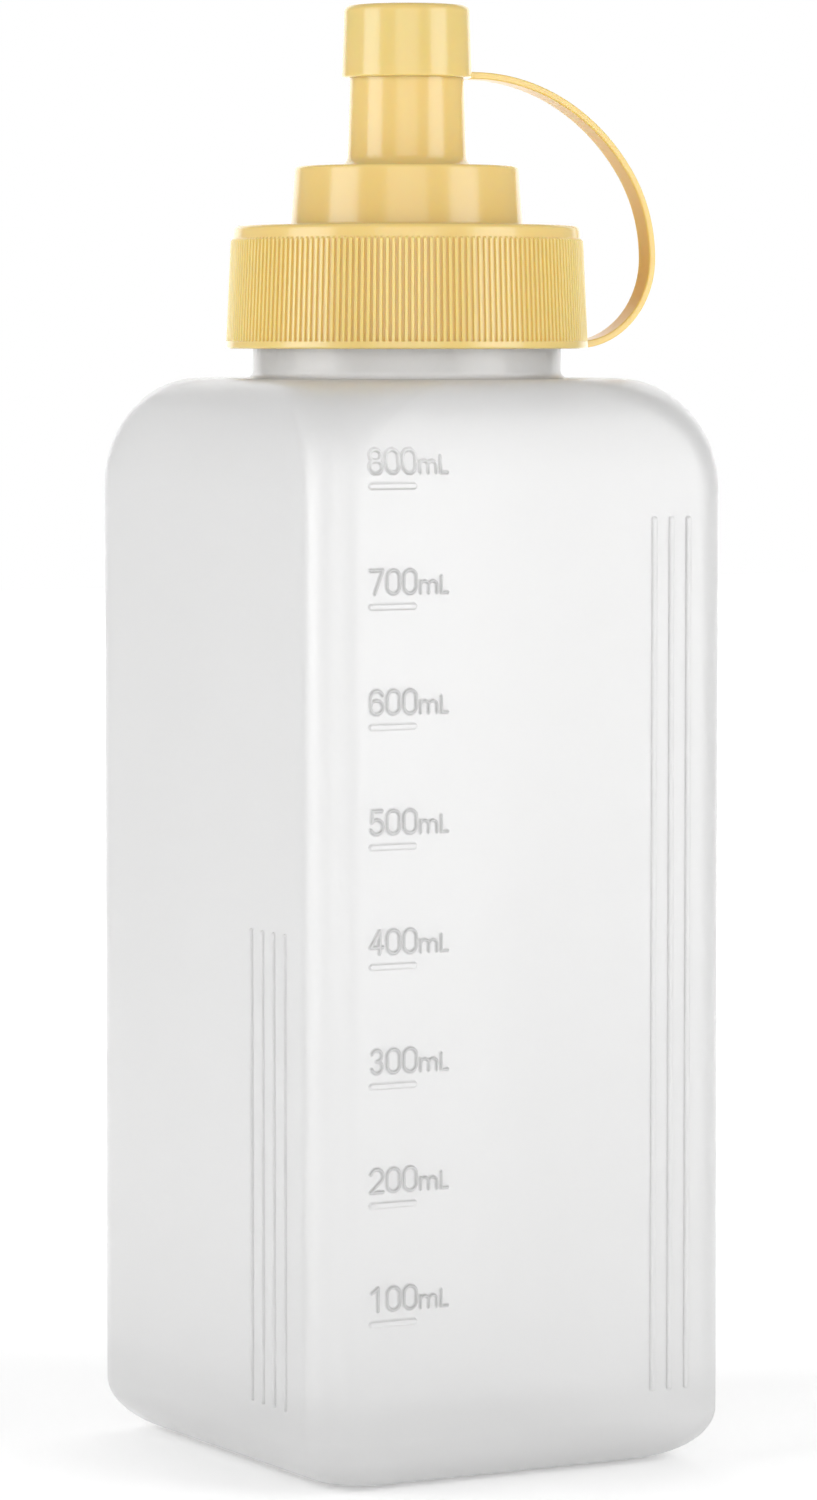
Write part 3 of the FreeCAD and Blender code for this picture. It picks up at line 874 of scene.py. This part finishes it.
# Profile above the ribs: the plain band, the plate, the tier and the spout, then back down the
# inside to the bore.
def closureProfile():
    top, tierTop, spoutRim = cap["top"], cap["tierTop"], cap["spoutRim"]
    band, skirtRound = cap["topRadius"], cap["skirtRound"]
    low = top - cap["plainBand"] + cap["bandRow"]
    profile = [(skirtRoot(low), low)]
    profile += closeTo(profile[-1], (band, top - skirtRound))
    profile += roundCorner((band - skirtRound, top - skirtRound), skirtRound, 0, 90, 8)

    tier, foot = cap["tierRadius"], cap["tierFootRound"]
    tierEdge, tierRound = cap["tierTopRadius"], cap["tierRound"]
    profile += closeTo(profile[-1], (tier + foot, top))
    profile += roundCorner((tier + foot, top + foot), foot, 270, 180, 5)
    profile += closeTo(profile[-1], (tierEdge, tierTop - tierRound))
    profile += roundCorner((tierEdge - tierRound, tierTop - tierRound), tierRound, 0, 90, 8)

    spout, tipRadius = cap["spoutRadius"], cap["spoutTipRadius"]
    fillet, rim = cap["spoutFillet"], cap["rimRound"]
    inner, rise = tipRadius - cap["wall"], spoutRim - tierTop - fillet
    profile += closeTo(profile[-1], (spout + fillet, tierTop))
    profile += roundCorner((spout + fillet, tierTop + fillet), fillet, 270, 180, 10)
    profile += [(spout + (tipRadius - spout) * share, tierTop + fillet + rise * share)
                for share in (0.25, 0.5, 0.75)]
    profile += roundCorner((tipRadius - rim, spoutRim - rim), rim, 0, 90, 5)
    profile += roundCorner((inner + rim, spoutRim - rim), rim, 90, 180, 5)

    room, under = tierEdge - cap["wall"], tierTop - cap["wall"]
    corners = [(inner, under), (room, under), (room, body["rim"]), (cap["bore"], body["rim"]),
               (cap["bore"], cap["bottom"] + cap["boreFoot"])]
    profile += closeTo(profile[-1], corners[0])
    for start, end in zip(corners, corners[1:]):
        profile += closeTo(start, end)
    return profile


def makeScrewCap(material):
    shell = Shell()
    grids = [turnProfile(lipProfile(), cap["columns"]), ribbedRows(),
             turnProfile(closureProfile(), cap["columns"])]
    lip, ribs, closure = [shell.addPoints(points, gridNormals(points, True)) for points in grids]
    for index in (lip, ribs, closure):
        shell.addFaces(gridFaces(index, True))
    shell.addFaces(stitchFaces(ribs[0], lip[-1], False))
    shell.addFaces(stitchFaces(ribs[-1], closure[0], True))
    shell.addFaces(gridFaces(np.array([closure[-1], lip[0]]), True))
    return shell.piece("screwCap", material, "yellow_plastic", "screw_cap")


tip = {
    "showing": 0.01405,                   # tier to the tip cap's lower rim
    "clearance": 0.00012,
    "wall": 0.0012,
    "roof": 0.0015,
    "draft": 0.00033,
    "topRound": 0.0011,
    "rimRound": 0.0003,
    "rings": (0.003, 0.006),              # radii of the flat ends' inner rings
    "columns": 160,
}
tip["bottom"] = cap["tierTop"] + tip["showing"]
tip["top"] = tipHigh.z
spoutSlope = (cap["spoutRadius"] - cap["spoutTipRadius"]) / (cap["spoutRim"] - cap["tierTop"])
tip["bore"] = cap["spoutRadius"] - spoutSlope * tip["showing"] + tip["clearance"]
tip["radius"] = tip["bore"] + tip["wall"]


# A cup turned round the axis, from the middle of its roof inside, down the bore, round its
# lower rim and up the outside to the middle of its top.
def makeTipCap(material):
    bore, low, high = tip["bore"], tip["bottom"], tip["top"]
    outside, edge, bend = tip["radius"], tip["rimRound"], tip["topRound"]
    roof, topRadius = high - tip["roof"], tip["radius"] - tip["draft"]
    profile = [(radius, roof) for radius in tip["rings"]]
    profile += closeTo(profile[-1], (bore, roof))
    profile += closeTo((bore, roof), (bore, low + edge / 2))
    profile += roundCorner((bore + edge / 2, low + edge / 2), edge / 2, 180, 270, 4)
    profile += roundCorner((outside - edge, low + edge), edge, 270, 360)
    profile += closeTo(profile[-1], (topRadius, high - bend))
    profile += roundCorner((topRadius - bend, high - bend), bend, 0, 90, 9)
    profile += [(radius, high) for radius in tip["rings"][::-1]]
    points = turnProfile(profile, tip["columns"])
    shell = Shell()
    index = shell.addPoints(points, gridNormals(points, True))
    shell.addFaces(gridFaces(index, True))
    shell.addPole((0, 0, roof), (0, 0, -1), index[0], True)
    shell.addPole((0, 0, high), (0, 0, 1), index[-1], False)
    return shell.piece("tipCap", material, "yellow_plastic", "tip_cap")


strap = {
    "width": 0.0037,
    "thickness": 0.00115,
    "edgeRound": 0.00028,
    "turn": 56.0,                         # degrees turned by the arc nearest the tip cap
    "start": 0.0016,
    "lowRadius": 0.014,
    "sunk": 0.0003,                       # how far its lower end reaches into the lip
    "clear": (0.0004, 0.0003),            # its first points outside the tip cap and the lip
}
strap["reach"] = tipHigh.x


# The strap's middle line: three arcs that turn it half round, between a short straight stretch
# out of the tip cap and one into the skirt's lip. With t the turn of the first arc,
# across = top sin t + side (1 - sin t), down = top (1 - cos t) + side cos t
# give the radii of the first two. Each point is x, z and its outward direction in degrees.
def strapLine():
    half, lowRadius = strap["thickness"] / 2, strap["lowRadius"]
    bendX, bendZ = tip["radius"] + strap["start"], tip["bottom"] + half
    right, low = strap["reach"] - half, cap["bottom"] + half
    turn = math.radians(strap["turn"])
    across, down = right - bendX, bendZ - low - lowRadius
    divisor = math.sin(turn) + math.cos(turn) - 1
    topRadius = (across * math.cos(turn) - down * (1 - math.sin(turn))) / divisor
    sideRadius = (down * math.sin(turn) - across * (1 - math.cos(turn))) / divisor
    left = 90 - strap["turn"]             # what is left to turn after the first arc
    arcs = [(bendX, bendZ - topRadius, topRadius, 90, left, 90),
            (right - sideRadius, low + lowRadius, sideRadius, left, 0, 60),
            (right - lowRadius, low + lowRadius, lowRadius, 0, -90, 80)]
    clearTip, clearLip = strap["clear"]
    line = [[(tip["radius"] - tip["wall"] / 2, bendZ, 90.0), (tip["radius"] + clearTip, bendZ, 90.0)]]
    for centreX, centreZ, radius, start, end, count in arcs:
        angle = np.linspace(start, end, count)[:-1]
        line.append(np.stack([centreX + radius * np.cos(np.radians(angle)),
                              centreZ + radius * np.sin(np.radians(angle)), angle], axis=-1))
    line.append([(x, low, -90.0) for x in (right - lowRadius, cap["lipRadius"] + clearLip,
                                           cap["lipRadius"] - strap["sunk"])])
    return np.concatenate(line)


# A rounded rectangle carried along the middle line: across is Y, the other way is the
# line's own outward direction.
def makeStrap(material):
    x, z, angle = strapLine().T
    outX, outZ = np.cos(np.radians(angle)), np.sin(np.radians(angle))
    edge = strap["edgeRound"]
    centreY, centreT = strap["width"] / 2 - edge, strap["thickness"] / 2 - edge
    section = []
    for signY, signT, start in ((1, 1, 0), (-1, 1, 90), (-1, -1, 180), (1, -1, 270)):
        section += roundCorner((signY * centreY, signT * centreT), edge, start, start + 90, 5)
    acrossY, acrossT = np.array(section).T
    points = np.stack([x[:, None] + outX[:, None] * acrossT,
                       np.broadcast_to(acrossY, (len(x), len(acrossY))),
                       z[:, None] + outZ[:, None] * acrossT], axis=-1)
    shell = Shell()
    index = shell.addPoints(points, gridNormals(points, True))
    shell.addFaces(gridFaces(index, True))
    for end, first in ((0, True), (-1, False)):
        shell.addPole(points[end].mean(axis=0), (-1, 0, 0), index[end], first)
    return shell.piece("strap", material, "yellow_plastic", "tip_cap")


studio = {
    "floorSize": 6.0,
    "floorLight": 0.9,                    # share of light the floor throws back on the bottle
    "floorShown": 1.35,                   # the same as the floor is seen
    "floorGlow": 0.30,                    # what the floor adds to the light on the bottle
    "floorGloss": 0.4,                    # and its share of smooth reflection there
    "floorRoughness": 0.35,
    "sweep": (0.25, 0.9, 1.0),            # from here to here the floor turns into the backdrop
    "floorDrop": 0.0002,
    "roomLight": 0.36,
    # degrees from the camera, distance, height, width, tall, tilt up, brightness
    "boxes": {
        "leftBox": (-67, 1.2, 0.20, 0.71, 0.5, 0, 4.3),
        "rightBox": (60, 1.2, 0.20, 0.71, 0.5, 0, 3.9),
        "leftHigh": (-67, 1.1, 0.68, 0.71, 0.45, -25, 2.5),
        "rightHigh": (60, 1.1, 0.68, 0.71, 0.45, -25, 2.6),
        "backPanel": (180, 0.6, 0.32, 0.9, 0.64, 0, 1.3),
        "floorPanel": (180, 0.35, 0.001, 0.9, 0.5, 90, 0.3),
        "frontFill": (0, 1.6, 0.45, 1.2, 0.9, 0, 1.7),
    },
}


# Two values, the first for what is seen straight on and the second for all other light.
def seenOrCast(nodes, links, seen, cast):
    path = nodes.new("ShaderNodeLightPath")
    choice = nodes.new("ShaderNodeMix")
    choice.inputs["A"].default_value = cast
    choice.inputs["B"].default_value = seen
    links.new(path.outputs["Is Camera Ray"], choice.inputs["Factor"])
    return choice


# A sheet of paper that is brighter as seen than in the light it throws back, and that turns
# into the white backdrop far out.
def makeFloor():
    half, low = studio["floorSize"] / 2, -studio["floorDrop"]
    mesh = bpy.data.meshes.new("floor")
    corners = [(-half, -half, low), (half, -half, low), (half, half, low), (-half, half, low)]
    mesh.from_pydata(corners, [], [(0, 1, 2, 3)])
    floor = bpy.data.objects.new("floor", mesh)
    bpy.context.scene.collection.objects.link(floor)
    material, nodes, links, shader = newMaterial("floorPaper")
    paper = nodes.new("ShaderNodeBsdfDiffuse")
    light = seenOrCast(nodes, links, studio["floorShown"], studio["floorLight"])
    links.new(light.outputs["Result"], paper.inputs["Color"])
    place = nodes.new("ShaderNodeTexCoord")
    length = nodes.new("ShaderNodeVectorMath")
    length.operation = "LENGTH"
    links.new(place.outputs["Object"], length.inputs["Vector"])
    near, far, bright = studio["sweep"]
    fade = fadeNode(nodes, links, length.outputs["Value"], (near, far), (0, bright))
    glow = nodes.new("ShaderNodeEmission")
    light = seenOrCast(nodes, links, 0, studio["floorGlow"])
    links.new(fade, light.inputs["B"])
    links.new(light.outputs["Result"], glow.inputs["Strength"])
    sheen = nodes.new("ShaderNodeBsdfGlossy")
    sheen.inputs["Roughness"].default_value = studio["floorRoughness"]
    mixed = nodes.new("ShaderNodeMixShader")
    light = seenOrCast(nodes, links, 0, studio["floorGloss"])
    links.new(light.outputs["Result"], mixed.inputs[0])
    links.new(paper.outputs["BSDF"], mixed.inputs[1])
    links.new(sheen.outputs["BSDF"], mixed.inputs[2])
    both = nodes.new("ShaderNodeAddShader")
    links.new(mixed.outputs["Shader"], both.inputs[0])
    links.new(glow.outputs["Emission"], both.inputs[1])
    links.new(both.outputs["Shader"], nodes["Material Output"].inputs["Surface"])
    nodes.remove(shader)
    mesh.materials.append(material)
    print("floor", studio["floorSize"])


def makeWorld():
    world = bpy.data.worlds.new("studio")
    bpy.context.scene.world = world
    world.use_nodes = True
    nodes, links = world.node_tree.nodes, world.node_tree.links
    background = nodes["Background"]
    light = seenOrCast(nodes, links, 1.0, studio["roomLight"])
    links.new(light.outputs["Result"], background.inputs["Strength"])
    background.inputs["Color"].default_value = (1, 1, 1, 1)
    bpy.context.scene.view_settings.view_transform = "Standard"
    print("room light", studio["roomLight"])


# Soft boxes to both sides, low and high, a weak one over the camera, and lit panels behind the
# bottle and on the floor there. Power = brightness x pi x area.
def makeLights():
    for name, (azimuth, distance, height, width, tall, tilt, brightness) in studio["boxes"].items():
        light = bpy.data.lights.new(name, "AREA")
        light.shape = "RECTANGLE"
        light.size, light.size_y = width, tall
        light.energy = brightness * math.pi * width * tall
        lamp = bpy.data.objects.new(name, light)
        turn = math.radians(camera["azimuth"] + azimuth)
        lamp.location = (distance * math.sin(turn), -distance * math.cos(turn), height)
        lamp.rotation_euler = (math.pi / 2 + math.radians(tilt), 0, turn)
        lamp.visible_camera = False
        bpy.context.scene.collection.objects.link(lamp)
    print("lights", len(studio["boxes"]))


camera = {
    "azimuth": -28.84,                    # degrees round from the face with the scale
    "distance": 0.972,
    "height": 0.1786,
    "pitch": 3.91,                        # degrees down
    "lens": 145.6,
    "sensor": 36,
    "slide": 0.00025,                     # sideways, to centre the view
}


def makeCamera():
    data = bpy.data.cameras.new("camera")
    data.lens = camera["lens"]
    data.sensor_width = camera["sensor"]
    eye = bpy.data.objects.new("camera", data)
    turn = math.radians(camera["azimuth"])
    away, slide = camera["distance"], camera["slide"]
    eye.location = (away * math.sin(turn) + slide * math.cos(turn),
                    -away * math.cos(turn) + slide * math.sin(turn), camera["height"])
    eye.rotation_euler = (math.pi / 2 - math.radians(camera["pitch"]), 0, turn)
    bpy.context.scene.collection.objects.link(eye)
    bpy.context.scene.camera = eye
    print("camera", camera["azimuth"], camera["lens"])


milky = frostedPlastic(frosted)
paleYellow = yellowPlastic(yellow)
makeBottle(milky)
makeScrewCap(paleYellow)
makeTipCap(paleYellow)
makeStrap(yellowPlastic(yellowStrapPaintedGlow))
makeFloor()
makeWorld()
makeLights()
makeCamera()
